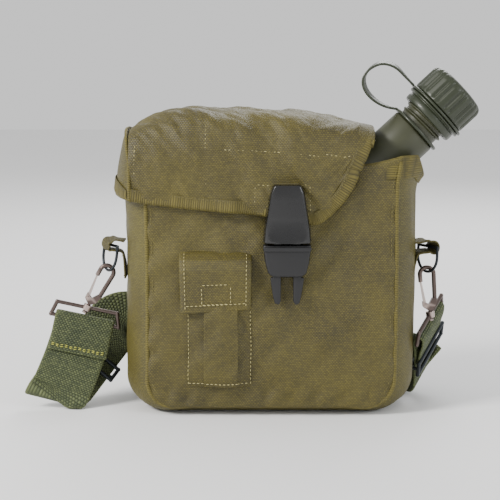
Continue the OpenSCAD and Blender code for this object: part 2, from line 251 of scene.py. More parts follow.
def weave_group(name, cols, rows, shift):
    """Rows of small raised bumps, each row moved along by shift of a bump: a twill or a webbing."""
    g = bpy.data.node_groups.new(name, "ShaderNodeTree")
    g.interface.new_socket("Pitch", in_out="INPUT", socket_type="NodeSocketFloat")
    g.interface.new_socket("Height", in_out="OUTPUT", socket_type="NodeSocketFloat")
    g.interface.new_socket("Tone", in_out="OUTPUT", socket_type="NodeSocketFloat")
    gin = g.nodes.new("NodeGroupInput")
    gout = g.nodes.new("NodeGroupOutput")
    uv = g.nodes.new("ShaderNodeUVMap")
    wob = g.nodes.new("ShaderNodeTexNoise")
    wob.inputs["Scale"].default_value = 60
    wob.inputs["Detail"].default_value = 1
    g.links.new(uv.outputs[0], wob.inputs["Vector"])
    sep = g.nodes.new("ShaderNodeSeparateXYZ")
    g.links.new(uv.outputs[0], sep.inputs[0])
    drift = math_node(g, "MULTIPLY", math_node(g, "SUBTRACT", wob.outputs[0], 0.5), 0.0012)
    u = math_node(g, "DIVIDE", math_node(g, "ADD", sep.outputs[0], drift), gin.outputs[0])
    v = math_node(g, "DIVIDE", math_node(g, "ADD", sep.outputs[1], drift), gin.outputs[0])
    row = math_node(g, "FLOOR", math_node(g, "MULTIPLY", v, rows))
    along = math_node(g, "ADD", math_node(g, "MULTIPLY", u, cols), math_node(g, "MULTIPLY", row, shift))
    fu = math_node(g, "FRACT", along)
    fv = math_node(g, "FRACT", math_node(g, "MULTIPLY", v, rows))
    hu = math_node(g, "SINE", math_node(g, "MULTIPLY", fu, math.pi))
    hv = math_node(g, "SINE", math_node(g, "MULTIPLY", fv, math.pi))
    height = math_node(g, "MULTIPLY", math_node(g, "POWER", hu, 0.6), math_node(g, "POWER", hv, 0.6))
    cell = g.nodes.new("ShaderNodeTexWhiteNoise")
    cell.noise_dimensions = "2D"
    comb = g.nodes.new("ShaderNodeCombineXYZ")
    g.links.new(math_node(g, "FLOOR", along), comb.inputs[0])
    g.links.new(row, comb.inputs[1])
    g.links.new(comb.outputs[0], cell.inputs["Vector"])
    g.links.new(height, gout.inputs[0])
    g.links.new(cell.outputs["Value"], gout.inputs[1])
    return g


twill_group = weave_group("TwillWeave", 1.0, 1.6, 0.5)
webbing_group = weave_group("WebbingWeave", 1.0, 1.7, 0.5)
tape_group = weave_group("TapeRibs", 0.12, 1.0, 0.0)


# %% [markdown]
# ### Cloth
# Nylon cloth is painted darker between its threads, as painted shade in the gaps of the weave, and some
# thread tops are paler at random. A slow noise mottles it, edges that stand out are a little paler from
# rubbing, and a sheen lightens it at grazing angles.

# %% cloth materials


def colour(hex_text):
    """Turns a hex colour as seen on a screen into the linear values that shaders use."""
    out = []
    for i in (0, 2, 4):
        c = int(hex_text[i:i + 2], 16) / 255
        out.append(c / 12.92 if c <= 0.04045 else ((c + 0.055) / 1.055) ** 2.4)
    return (*out, 1)


def cloth(name, group, pitch, painted_gap_shade, mid, pale, rough=0.75, sheen=0.35, bump=0.35, depth=0.0004,
          mottle=0.25):
    mat = bpy.data.materials.new(name)
    mat.use_nodes = True
    t = mat.node_tree
    bsdf = t.nodes["Principled BSDF"]
    w = t.nodes.new("ShaderNodeGroup")
    w.node_tree = group
    w.inputs[0].default_value = pitch * MM
    obj = t.nodes.new("ShaderNodeTexCoord")
    n1 = t.nodes.new("ShaderNodeTexNoise")
    n1.inputs["Scale"].default_value = 22
    n1.inputs["Detail"].default_value = 5
    t.links.new(obj.outputs["Object"], n1.inputs["Vector"])
    # painted shade: where the weave height is low, in the gaps between threads, the cloth takes its darkest
    # colour; thread tops take the mid colour
    gap_shade_mix = t.nodes.new("ShaderNodeMix")
    gap_shade_mix.data_type = "RGBA"
    gap_shade_mix.inputs[6].default_value = colour(painted_gap_shade)
    gap_shade_mix.inputs[7].default_value = colour(mid)
    t.links.new(w.outputs["Height"], gap_shade_mix.inputs[0])
    mix2 = t.nodes.new("ShaderNodeMix")
    mix2.data_type = "RGBA"
    t.links.new(gap_shade_mix.outputs[2], mix2.inputs[6])
    mix2.inputs[7].default_value = colour(pale)
    tone = math_node(t, "MULTIPLY", w.outputs["Tone"], w.outputs["Height"])
    worn = math_node(t, "MULTIPLY", math_node(t, "SUBTRACT", n1.outputs[0], 0.35), mottle * 3)
    amount = math_node(t, "MAXIMUM", math_node(t, "ADD", math_node(t, "MULTIPLY", tone, 0.45), worn), 0.0)
    t.links.new(math_node(t, "MINIMUM", amount, 1.0), mix2.inputs[0])
    geo = t.nodes.new("ShaderNodeNewGeometry")
    edge = math_node(t, "MULTIPLY", math_node(t, "SUBTRACT", geo.outputs["Pointiness"], 0.52), 6.0)
    edge = math_node(t, "MINIMUM", math_node(t, "MAXIMUM", edge, 0.0), 0.35)
    mix3 = t.nodes.new("ShaderNodeMix")
    mix3.data_type = "RGBA"
    t.links.new(edge, mix3.inputs[0])
    t.links.new(mix2.outputs[2], mix3.inputs[6])
    mix3.inputs[7].default_value = colour(pale)
    t.links.new(mix3.outputs[2], bsdf.inputs["Base Color"])
    b = t.nodes.new("ShaderNodeBump")
    b.inputs["Strength"].default_value = bump
    b.inputs["Distance"].default_value = depth
    t.links.new(w.outputs["Height"], b.inputs["Height"])
    t.links.new(b.outputs[0], bsdf.inputs["Normal"])
    r = math_node(t, "ADD", math_node(t, "MULTIPLY", n1.outputs[0], 0.2), rough - 0.1)
    t.links.new(r, bsdf.inputs["Roughness"])
    bsdf.inputs["Sheen Weight"].default_value = sheen
    bsdf.inputs["Sheen Roughness"].default_value = 0.45
    bsdf.inputs["Sheen Tint"].default_value = colour(pale)
    return mat


nylon = cloth("olive_nylon", twill_group, 2.0, "1e1a04", "453d0e", "6a601f", 0.56, 0.08, 0.5)
nylon_gusset = cloth("olive_nylon_gusset", twill_group, 2.0, "221e06", "4a4213", "6c6424", 0.56, 0.1, 0.5)
pile = cloth("pile_lining", twill_group, 0.9, "574f30", "7d7448", "94895c", 0.95, 0.6, 0.6)
tape = cloth("ribbed_tape", tape_group, 1.7, "1c1804", "4e4616", "706628", 0.7, 0.3, 0.8, 0.0006)
olive_webbing = cloth("olive_webbing", webbing_group, 2.0, "1b1909", "463f1a", "635b2d", 0.75, 0.25, 0.7)
strap_webbing = cloth("strap_webbing", webbing_group, 2.5, "141b0e", "3c472b", "7b8352", 0.75, 0.2, 0.9,
                      0.0009, 0.12)
velcro = cloth("hook_and_loop", twill_group, 1.1, "2c2d18", "4b4a2a", "626039", 1.0, 0.5, 0.9)


# %% [markdown]
# ### Plastic, metal, rubber and thread
# Moulded plastic has a fine grain and small changes of gloss. The bottle is pebbled. Hook metal is a
# dark nickel that has worn brighter on its high edges.

# %% hard materials


def hard(name, base, other, rough, metallic=0.0, grain=300, bump=0.1, depth=0.0002, spread=0.15,
         wear=None, coat=0.0, cells=False):
    mat = bpy.data.materials.new(name)
    mat.use_nodes = True
    t = mat.node_tree
    bsdf = t.nodes["Principled BSDF"]
    obj = t.nodes.new("ShaderNodeTexCoord")
    n1 = t.nodes.new("ShaderNodeTexNoise")
    n1.inputs["Scale"].default_value = 70
    n1.inputs["Detail"].default_value = 6
    t.links.new(obj.outputs["Object"], n1.inputs["Vector"])
    n2 = t.nodes.new("ShaderNodeTexVoronoi" if cells else "ShaderNodeTexNoise")
    n2.inputs["Scale"].default_value = grain
    t.links.new(obj.outputs["Object"], n2.inputs["Vector"])
    mix = t.nodes.new("ShaderNodeMix")
    mix.data_type = "RGBA"
    mix.inputs[6].default_value = colour(base)
    mix.inputs[7].default_value = colour(other)
    t.links.new(n1.outputs[0], mix.inputs[0])
    last = mix.outputs[2]
    if wear:
        geo = t.nodes.new("ShaderNodeNewGeometry")
        e = math_node(t, "MULTIPLY", math_node(t, "SUBTRACT", geo.outputs["Pointiness"], 0.54), 8.0)
        e = math_node(t, "MINIMUM", math_node(t, "MAXIMUM", e, 0.0), 0.8)
        mix2 = t.nodes.new("ShaderNodeMix")
        mix2.data_type = "RGBA"
        t.links.new(e, mix2.inputs[0])
        t.links.new(last, mix2.inputs[6])
        mix2.inputs[7].default_value = colour(wear)
        last = mix2.outputs[2]
    t.links.new(last, bsdf.inputs["Base Color"])
    bsdf.inputs["Metallic"].default_value = metallic
    bsdf.inputs["Coat Weight"].default_value = coat
    bsdf.inputs["Coat Roughness"].default_value = 0.15
    r = math_node(t, "ADD", math_node(t, "MULTIPLY", n1.outputs[0], spread), rough)
    t.links.new(r, bsdf.inputs["Roughness"])
    b = t.nodes.new("ShaderNodeBump")
    b.inputs["Strength"].default_value = bump
    b.inputs["Distance"].default_value = depth
    t.links.new(n2.outputs[0], b.inputs["Height"])
    t.links.new(b.outputs[0], bsdf.inputs["Normal"])
    return mat


clip_plastic = hard("clip_plastic_gloss", "050506", "0a0a0c", 0.2, coat=0.25, bump=0.05)
clip_matte = hard("clip_plastic_satin", "0a0a0c", "141416", 0.38, bump=0.15)
cap_plastic = hard("cap_plastic", "1d2311", "272e18", 0.36, coat=0.12, bump=0.04)
bottle_plastic = hard("bottle_plastic", "34361f", "47492c", 0.55, grain=900, bump=0.6, depth=0.0006,
                      cells=True)
neck_plastic = hard("neck_plastic", "2c2e1c", "3c3e28", 0.4, bump=0.1)
rubber = hard("seal_rubber", "0c0c0c", "1a1a1a", 0.8, bump=0.2)
hook_metal = hard("hook_metal", "4a403c", "6a5d58", 0.26, metallic=0.9, wear="c4b2aa", bump=0.08)
gate_metal = hard("gate_metal", "8a7d78", "a59892", 0.3, metallic=0.9, wear="d0c4bd", bump=0.08)
wire_metal = hard("wire_metal", "22262a", "363b40", 0.3, metallic=0.7, wear="7b8084", bump=0.08)
thread = hard("thread", "a69c6a", "b8ae7c", 0.8, bump=0.3, grain=1500)
thread_dark = hard("thread_olive", "5d572f", "756d42", 0.85, bump=0.3, grain=1500)
thread_yellow = hard("thread_yellow", "9a9a3c", "b3b254", 0.8, bump=0.3, grain=1500)
print("materials", len(bpy.data.materials))

# %% [markdown]
# ## The cover
# The cover is a flat-bottomed pouch: front and back panels sewn to one long gusset. The gusset
# bulges at the sides, the bottom corners are round, and the front panel is pushed out by the bottle.
# One function gives the surface, so that panels, piping, tape and stitches all meet on the seam.

# %% cover surface
SEAM_HALF = 93
GUSSET_OUT = 17.5
CORNER = 27
RIM = 189
HALF_D = 38
FLARE_FROM = 0.86  # share of the height where the mouth starts to flare to the right


def cover_point(a, b, c):
    """a runs across, b from front to back, c from the floor to the rim; all in mm."""
    half = SEAM_HALF + GUSSET_OUT * max(0.0, 1 - b * b) ** 0.75
    half += (1.4 * a - 0.4) * math.sin(c * math.pi) ** 0.8
    flare = max(0.0, (c - FLARE_FROM) / (1 - FLARE_FROM))
    if a > 0:
        half += 7 * flare**2 * (1 - 0.4 * b * b)
    x, z = a * half, c * RIM
    dx, dz = abs(x) - (half - CORNER), CORNER - z
    if dx > 0 and dz > 0:
        m, l = max(dx, dz), math.hypot(dx, dz)
        x = math.copysign(half - CORNER + dx * m / l, x)
        z = CORNER - dz * m / l
    z += 7 * abs(b) ** 5 * max(0.0, 1 - z / 60) ** 3 * max(0.0, 1 - max(0.0, abs(x) - 60) / 60)
    # the right corner of the rim is pulled up, and the rim dips where the neck lies over it
    z += flare**1.5 * 6 * max(0.0, (a - 0.72) / 0.28) ** 1.4
    z -= flare**1.5 * 16 * max(0.0, (a - 0.85) / 0.15) * max(0.0, 1 - (b / 0.62) ** 2)
    return x, b * HALF_D, z


def panel_bulge(a, c):
    """How far the bottle pushes a panel out, with soft folds and puckers along the bottom seam."""
    edge = max(0.0, 1 - a**4) * max(0.0, min(1.0, c * 6)) ** 0.7
    x, z = a * SEAM_HALF, c * RIM
    push = 5.5 * (1 - a * a) ** 0.6 * math.sin(min(1.0, c * 1.15 + 0.12) * math.pi) ** 0.7 if c < 0.99 else 0
    folds = 2.6 * fold_noise(x + 0.6 * z, 3, z * 0.3, 24, 4)
    folds += 1.5 * fold_noise(x - 0.8 * z, 0, z * 0.5, 15, 9)
    folds += 0.7 * fold_noise(x * 1.2 + z, 7, z * 0.3, 7, 23)
    pucker = 1.5 * math.sin(x / 3.1 + 2 * fold_noise(x, 0, 0, 30, 2)) * math.exp(-((z - 9) / 7) ** 2)
    beside_seam = math.exp(-(((1 - abs(a)) * SEAM_HALF - 4) / 5) ** 2)
    side = math.sin(z / 4.2 + 2 * fold_noise(0, z, 0, 25, 5)) * beside_seam
    return push + edge * folds + pucker * (1 - a**6) + side * min(1, c * 8)


def front_point(u, v):
    a, c = u * 2 - 1, v
    x, y, z = cover_point(a, -1, c)
    return x, y - max(-1.5, panel_bulge(a, c)), z


def back_point(u, v):
    a, c = u * 2 - 1, v
    x, y, z = cover_point(a, 1, c)
    return x, y + max(-1.0, 0.35 * panel_bulge(a, c)), z


def rim_path(s):
    """Follows the U of the gusset: down the left side, along the floor, up the right side."""
    length = (RIM, 2 * SEAM_HALF, RIM)
    d = s * sum(length)
    if d < length[0]:
        return -1, 1 - d / length[0]
    if d < length[0] + length[1]:
        return -1 + 2 * (d - length[0]) / length[1], 0
    return 1, (d - length[0] - length[1]) / length[2]


def gusset_point(u, v):
    a, c = rim_path(u)
    b = v * 2 - 1
    x, y, z = cover_point(a, b, c)
    out = 2.4 * (1 - b * b) * fold_noise(x, y * 1.4, z * 0.6, 21, 7) if z > 6 else 0
    return x + (math.copysign(out, x) if abs(a) == 1 else 0), y, z


# %% [markdown]
# ### Panels and gusset
# Each panel is one grid, shaped by the surface above and then given the thickness of lined cloth.

# %% cover panels
finish_piece("cover_front_cloth", grid_piece(72, 72, front_point), nylon,
             "cover", ("cover_front",), thick=1.4, levels=1)
finish_piece("cover_back_cloth", grid_piece(48, 48, back_point), nylon,
             "cover", ("cover_back",), thick=1.4, levels=1)
finish_piece("cover_gusset_cloth", grid_piece(220, 22, gusset_point), nylon_gusset,
             "cover", ("cover_gusset",), thick=1.2, levels=1)

# %% [markdown]
# ### Piping and rim tape
# A thin covered cord stands out along both seams. A ribbed tape is folded over the open rim, and its
# ribs run across it.

# %% piping and rim tape
N_PIPE = 150


def piping_path(b):
    pts = []
    for i in range(N_PIPE + 1):
        a, c = rim_path(0.006 + 0.988 * i / N_PIPE)
        x, y, z = cover_point(a, b, c)
        wob = 0.35 * fold_noise(x, b * 50, z, 14, 3)
        pts.append((x + wob, y + b * 0.9, max(1.6, z + 0.4)))
    return pts


for name, b, node in (("piping_front_cord", -1, "piping_front"), ("piping_back_cord", 1, "piping_back")):
    finish_piece(name, sweep(piping_path(b), 1.5, 8), tape, "cover", (node,))

for k, b in ((0, -1), (1, 1)):
    row = []
    for p in piping_path(b):
        x, y, z = p
        toward = Vector((x * 0.55, 0, (z - 95) * 0.5)).normalized()
        row.append((x - 4.2 * toward.x, y - b * 0.2 + b * 0.8, z - 4.2 * toward.z, 0, b, 0))
    stitch_row("piping_stitches_" + str(k), row, thread_dark, "cover", 3.6, 2.6, 0.3, 0.3)

TAPE_H = 13


def tape_point(u, v):
    """u along left side, front, right side; v from the outer lower edge over the rim to the inner one."""
    if u < 0.2:
        a, b = -1, 1 - u / 0.2 * 2
    elif u < 0.8:
        a, b = -1 + (u - 0.2) / 0.6 * 2, -1
    else:
        a, b = 1, -1 + (u - 0.8) / 0.2 * 2
    across = (v - 0.5) * 2
    drop = abs(across) * TAPE_H
    side = 1 if across < 0 else -1
    c = 1 - drop / RIM
    x, y, z = cover_point(a, b, min(1.0, c))
    nx = a if abs(a) == 1 else 0
    ny = -1 if b == -1 else 0
    if abs(a) == 1 and b == -1:
        nx, ny = 0.7 * a, -0.7
    off = (1.3 + 0.25 * fold_noise(x, y, z, 9, 6)) * side if abs(across) > 0.08 else 0
    lift = 1.6 * (1 - min(1.0, abs(across) * 6)) if abs(across) < 0.17 else 0
    sag = 1.4 * fold_noise(x, y, 0, 45, 8)
    return x + nx * off, y + ny * off, z + lift + sag


finish_piece("rim_tape", grid_piece(200, 14, tape_point), tape, "cover",
             ("rim_binding",), thick=0.9, levels=1)

# lining shows only as a soft pale wall inside the mouth
for node, y0, y1 in (("lining_front", -36, -33.5), ("lining_back", 33.5, 36)):
    bm = grid_piece(30, 30, lambda u, v, y=(y0 + y1) / 2: (
        (u * 2 - 1) * 90, y + 0.8 * fold_noise(u * 180, 0, v * 180, 22, 12), 8 + v * 172))
    finish_piece(node + "_pile", bm, pile, "cover", (node,), thick=2.0, levels=1)


def lining_side_point(u, v):
    a, c = rim_path(0.03 + 0.94 * u)
    x, y, z = cover_point(a, (v * 2 - 1) * 0.84, c)
    return x * 0.965, y, 4 + z * 0.97


finish_piece("lining_gusset_pile", grid_piece(90, 10, lining_side_point), pile,
             "cover", ("lining_gusset",), thick=1.8, levels=1)
print("cover pieces done")

# %% [markdown]
# ## The flap
# The flap is one sheet, sewn to the top of the back panel. It goes up over the bottle, down the
# front, and its right edge is cut away in a curve to let the neck out. Each column of the grid is
# a side view of the flap at that place, from the back seam to the lip.

# %% flap surface
TOP_Z = [(-104, 213), (-96, 219), (-78, 225.5), (-50, 227), (0, 225.5), (40, 221.5), (78, 215)]
LIP_Z = [(-104, 163), (-60, 157.5), (-6, 152.5), (20, 148), (35, 146.5), (50, 158), (60, 172), (68, 189),
         (74, 203), (78, 209)]
FLAP_L, FLAP_R = -104, 77.5
BACK_Y, FRONT_Y, BACK_Z = 40.4, -44.2, 193.5
flap_cache = {}


def flap_column(x):
    """Side view at x: points from the back seam over the top to the lip, with running length."""
    key = round(x, 2)
    if key not in flap_cache:
        top, lip = smooth_table(TOP_Z, x), smooth_table(LIP_Z, x)
        base = top - 36
        mid, half = (BACK_Y + FRONT_Y) / 2, (BACK_Y - FRONT_Y) / 2
        pts = [(BACK_Y, BACK_Z + (base - BACK_Z) * k / 6) for k in range(6)] if base > BACK_Z else []
        for k in range(61):
            t = math.pi * k / 60
            co, si = math.cos(t), math.sin(t)
            y = mid + half * math.copysign(abs(co) ** 0.62, co)
            z = base + (top - base) * si ** 0.72
            if z < BACK_Z and co > 0:
                continue
            pts.append((y, z))
        low = lip
        keep = [p for p in pts if not (p[0] < mid and p[1] <= low)]
        if low < base:
            keep += [(FRONT_Y, base - (base - low) * k / 30) for k in range(1, 31)]
        run = [0.0]
        for p, q in zip(keep, keep[1:]):
            run.append(run[-1] + math.hypot(q[0] - p[0], q[1] - p[1]))
        flap_cache[key] = (keep, run)
    return flap_cache[key]


def flap_at(x, d_from_lip=None, v=None, lift=0.0):
    """A point of the flap by distance up from the lip (mm) or by share v, with cloth folds."""
    pts, run = flap_column(x)
    d = run[-1] - d_from_lip if v is None else v * run[-1]
    d = max(0.0, min(run[-1], d))
    i = 0
    while i < len(run) - 2 and run[i + 1] < d:
        i += 1
    k = (d - run[i]) / max(run[i + 1] - run[i], 1e-6)
    y = pts[i][0] + (pts[i + 1][0] - pts[i][0]) * k
    z = pts[i][1] + (pts[i + 1][1] - pts[i][1]) * k
    ty, tz = pts[i + 1][0] - pts[i][0], pts[i + 1][1] - pts[i][1]
    l = math.hypot(ty, tz) or 1
    ny, nz = tz / l, -ty / l
    near_hinge = min(1.0, d / 18)
    s = x * 0.8 + (run[-1] - d) * 0.62
    t = x * 0.45 - (run[-1] - d)
    calm = max(0.15, min(1.0, (FLAP_R - x) / 24))
    fold = calm * (3.0 * fold_noise(s, 0, t * 0.35, 22, 31) + 1.7 * fold_noise(s * 1.3, 5, t * 0.5, 11, 17))
    fold += calm * 0.7 * fold_noise(s * 1.5, 9, t * 0.8, 6, 43)
    fold += 1.6 * math.exp(-((x - 12) / 22) ** 2) * math.sin((run[-1] - d) / 9.0) * 0.4
    bow = 1.6 * math.sin(max(0.0, min(1.0, (x + 104) / 182)) * math.pi)
    off = lift + near_hinge * (fold + bow)
    return x, y + ny * off, z + nz * off


def flap_point(u, v):
    return flap_at(FLAP_L + (FLAP_R - FLAP_L) * u, v=v)


def flap_side_piece(u, v, lift=0.0):
    """The left side piece: u from the front seam to the back, v from the top down to its hem."""
    y = FRONT_Y + 1.0 + (BACK_Y - 6 - FRONT_Y) * u * 0.96
    mid, half = (BACK_Y + FRONT_Y) / 2, (BACK_Y - FRONT_Y) / 2
    top, base = 213, 177
    k = min(1.0, abs((y - mid) / half)) ** (1 / 0.62)
    z_top = base + (top - base) * max(0.0, 1 - k * k) ** 0.36
    low = 163 + 8 * u if u < 0.75 else 169 + (u - 0.75) * 110
    z = z_top + (min(low, z_top - 4) - z_top) * v
    puff = math.sin(min(1, u * 1.02) * math.pi) ** 0.6 * (0.25 + 0.75 * v ** 0.6)
    x = FLAP_L - 13 * puff + 1.2 * fold_noise(0, y, z, 16, 11) * v * math.sin(u * math.pi)
    return x - lift, y, z


finish_piece("flap_cloth", grid_piece(120, 110, flap_point), nylon, "flap",
             ("flap_panel",), thick=1.3, levels=1)
finish_piece("flap_side_cloth", grid_piece(40, 30, flap_side_piece), nylon_gusset,
             "flap", ("flap_side",), thick=1.2, levels=1)


def flap_lining_point(u, v):
    return flap_at(FLAP_L + 3 + (FLAP_R - FLAP_L - 9) * u, v=0.06 + 0.9 * v, lift=-3.0)


finish_piece("flap_lining_pile", grid_piece(70, 60, flap_lining_point), pile, "flap",
             ("flap_lining",), thick=1.5, levels=1)

# %% [markdown]
# ### Flap tape, corner piping and stitches
# The same ribbed tape binds the lip. A piped seam joins the side piece to the front. Rows of stitches
# hold the tape, and two short rows beside the clip hold the webbing that is sewn behind.

# %% flap trim
TAPE_W = 9.0
SIDE_DROP = 34  # height of the side piece, from its seam to its hem
N_LIP = 150


def lip_x(s):
    """Spreads points evenly along the lip, which turns steeply upward at its right end."""
    return FLAP_L + (FLAP_R - 0.8 - FLAP_L) * (1 - (1 - s) ** 1.35)


def lip_frame(s):
    """A lip point with the direction along it and the direction across it, in the cloth."""
    e = 0.012
    p = Vector(flap_at(lip_x(s), d_from_lip=0))
    a = Vector(flap_at(lip_x(max(0, s - e)), d_from_lip=0))
    b = Vector(flap_at(lip_x(min(1, s + e)), d_from_lip=0))
    along = (b - a).normalized()
    pts, run = flap_column(lip_x(s))
    ty, tz = pts[-1][0] - pts[-4][0], pts[-1][1] - pts[-4][1]
    normal = Vector((0, tz, -ty)).normalized()
    normal = (normal - along * normal.dot(along)).normalized()
    across = normal.cross(along).normalized()
    if across.dot(Vector((-15, FRONT_Y, 200)) - p) < 0:
        across = -across
    return p, along, across, normal


def lip_tape_point(u, v):
    p, along, across, normal = lip_frame(u)
    k = (v - 0.5) * 2
    out = -1 if k < 0 else 1
    if normal.y > 0:
        normal = -normal
    reach = TAPE_W * abs(k) - 0.9 * (1 - abs(k))
    shell = 1.35 if abs(k) > 0.12 else 0.3
    wave = 0.35 * fold_noise(p.x, p.y, p.z, 7, 14)
    return tuple(p + across * reach + normal * (shell + wave) * (-out))


def strip_uv(bm, nu, nv, length, width):
    """Lays a grid strip's UV along its own length, so ribs run straight across a curved tape."""
    layer = bm.loops.layers.uv.verify()
    bm.verts.ensure_lookup_table()
    cols = nu + 1
    for face in bm.faces:
        for loop in face.loops:
            i = loop.vert.index
            loop[layer].uv = ((i // cols) / nv * width * MM, (i % cols) / nu * length * MM)
    return bm


bm = grid_piece(N_LIP, 12, lip_tape_point)
bm.verts.index_update()
strip_uv(bm, N_LIP, 12, 235, 20)
finish_piece("flap_tape", bm, tape, "flap", ("flap_binding",), thick=0.6, levels=1,
             uv=False, even=False)


def side_hem_point(u, v):
    k = (v - 0.5) * 2
    x, y, z = flap_side_piece(u, 1.0)
    up = TAPE_W * abs(k)
    x2, y2, z2 = flap_side_piece(u, max(0.0, 1 - up / SIDE_DROP))
    out = 1.3 if k < 0 else -1.3
    return x2 - out, y2, z2 - (0.8 if abs(k) < 0.1 else 0)


bm = grid_piece(60, 10, side_hem_point)
bm.verts.index_update()
strip_uv(bm, 60, 10, 90, 20)
finish_piece("flap_side_tape", bm, tape, "flap", thick=0.6, levels=1, uv=False)

corner = [flap_side_piece(0.0, k / 40) for k in range(41)]
corner = [(x + 0.4, y - 0.8, z) for x, y, z in corner]
over = []
for k in range(40):
    x, y, z = flap_side_piece(k / 40 * 0.9, 0.0)
    over.append((x - 0.2, y, z + 0.9))
finish_piece("flap_corner_cord", sweep(list(reversed(over))[:-1] + corner, 1.25, 8), tape,
             "flap")


def flap_line(points, lift=1.0):
    """Turns (x, z) seen from the front into points on the flap with an outward direction."""
    out = []
    for x, z in points:
        pts, run = flap_column(x)
        best = min(range(len(pts)), key=lambda i: abs(pts[i][1] - z) + (60 if pts[i][0] > -2 else 0))
        p = flap_at(x, v=run[best] / run[-1], lift=lift)
        out.append((p[0], p[1], p[2], 0, -1, 0.15))
    return out


def dense(a, b, n=24):
    return [(a[0] + (b[0] - a[0]) * k / n, a[1] + (b[1] - a[1]) * k / n) for k in range(n + 1)]


rows = {
    "flap_stitch_left": dense((-47, 222), (-47.5, 201)),
    "flap_stitch_low": dense((-47.5, 201), (64, 195)),
    "flap_stitch_short": dense((-47, 181), (-47, 172)),
    "flap_stitch_box_l": dense((-11, 174.5), (-11.5, 153.5)),
    "flap_stitch_box_r": dense((29, 174.5), (29.5, 152)),
    "flap_stitch_box_t": dense((-10, 175), (28, 175)),
    "flap_stitch_corner": dense((-99, 208), (-100, 172)),
}
for name, pts in rows.items():
    stitch_row(name, flap_line(pts), thread, "flap", 3.3, 2.4, 0.32, 0.1)
row = []
for k in range(161):
    p, along, across, normal = lip_frame(0.01 + 0.98 * k / 160)
    if normal.y > 0:
        normal = -normal
    q = p + across * (TAPE_W - 1.3) + normal * 1.75
    row.append((q.x, q.y, q.z, normal.x, normal.y, normal.z))
stitch_row("flap_tape_stitches", row, thread_dark, "flap", 3.0, 2.2, 0.27, 0.2)
print("flap pieces done")

# %% [markdown]
# ## The clip
# Both halves are moulded plastic. The upper half is a glossy wedge with a thumb hollow. The lower half
# is a satin sleeve, and the two prongs stick out of it. Edges are bevelled, because a mould has no
# sharp edges, and the highlights along them are what makes the clip read as plastic.

# %% clip halves
CX, CZ = 12.5, 132.0


def plate(points, y0, y1, bevel, segs=3, taper=None):
    """A front-view outline (mm) drawn out from y0 to y1 and bevelled all round."""
    bm = bmesh.new()
    verts = [bm.verts.new((x * MM, y0 * MM, z * MM)) for x, z in points]
    face = bm.faces.new(verts)
    ext = bmesh.ops.extrude_face_region(bm, geom=[face])
    moved = [g for g in ext["geom"] if isinstance(g, bmesh.types.BMVert)]
    for v in moved:
        v.co.y = y1 * MM
        if taper:
            v.co.x = (CX + (v.co.x / MM - CX) * taper) * MM
    bmesh.ops.recalc_face_normals(bm, faces=bm.faces)
    bmesh.ops.bevel(bm, geom=list(bm.edges), offset=bevel * MM, affect="EDGES", segments=segs,
                    profile=0.5, material=-1)
    return bm


upper = [(CX - 18.2, CZ + 0.6), (CX + 18.2, CZ + 0.6), (CX + 17.2, CZ + 12), (CX + 12.8, CZ + 38),
         (CX + 10.4, CZ + 43.6), (CX - 10.4, CZ + 43.6), (CX - 12.8, CZ + 38), (CX - 17.2, CZ + 12)]
bm = plate(upper, -46.2, -56.2, 1.8, 4, 0.93)
# the thumb hollow is pressed into the lower middle of the front face
cuts = [e for e in bm.edges if e.calc_length() > 6 * MM]
bmesh.ops.subdivide_edges(bm, edges=cuts, cuts=14, use_grid_fill=True)
bmesh.ops.triangulate(bm, faces=[f for f in bm.faces if len(f.verts) > 4])
for v in bm.verts:
    x, y, z = v.co / MM
    if y < -54.5:
        v.co.y -= 1.3 * max(0.0, 1 - ((x - CX) / 17) ** 2) * MM
        r = math.hypot((x - CX) / 12.0, (z - (CZ + 5.0)) / 5.2)
        if r < 1 and y < -55.5:
            v.co.y += 3.0 * math.cos(r * math.pi / 2) ** 0.8 * MM
finish_piece("clip_upper", bm, clip_plastic, "flap", ("clip_male",))
lower = [(CX - 18.1, CZ - 0.6), (CX - 16.4, CZ - 14), (CX - 14.4, CZ - 21.5), (CX - 11, CZ - 24.3),
         (CX + 11, CZ - 24.3), (CX + 14.4, CZ - 21.5), (CX + 16.4, CZ - 14), (CX + 18.1, CZ - 0.6)]
finish_piece("clip_lower", plate(lower, -42.2, -53.8, 1.5, 4, 0.97), clip_matte, "cover",
             ("clip_female",))
# a raised lip on the lower half, where the upper one sits on it
finish_piece("clip_lower_lip", plate([(CX - 17.2, CZ - 5.4), (CX + 17.2, CZ - 5.4), (CX + 17.8, CZ - 2.0),
                                      (CX - 17.8, CZ - 2.0)], -53.2, -54.9, 0.6, 3), clip_matte,
             "cover")
for side, body, node in ((-1, "prong_left_body", "prong_left"), (1, "prong_right_body", "prong_right")):
    outline = [(4.4, 6.4), (10, 6.4), (10, -24.9), (12.4, -25.2), (12, -29), (10.3, -40), (8.8, -44.6),
               (6, -45.4), (4.6, -43)]
    pts = [(CX + side * x, CZ + z) for x, z in outline]
    finish_piece("clip_" + node, plate(pts if side > 0 else pts[::-1], -46.3, -50.7, 0.8, 3), clip_matte,
                 body, (node,))


def web_patch(name, x0, x1, z0, z1, y, body, node):
    bm = grid_piece(16, 16, lambda u, v: (x0 + (x1 - x0) * u, y + 0.3 * fold_noise(u * 20, 0, v * 20, 9, 3),
                                          z0 + (z1 - z0) * v))
    return finish_piece(name, bm, olive_webbing, body, (node,), thick=1.6, levels=1)


web_patch("clip_strap_webbing", CX - 10, CX + 10, 156, 176, -46.0, "flap", "clip_strap")
web_patch("clip_anchor_webbing", CX - 12, CX + 12, 108, 134, -40.6, "cover", "clip_anchor")

# %% [markdown]
# ## The pocket
# A small box-pleated pouch with its own flap. The flap is cut from the same nylon, hemmed with one
# row of stitches, and a stitched rectangle shows where the hook patch is sewn behind it.

# %% pocket
PX0, PX1 = -61.0, -14.0


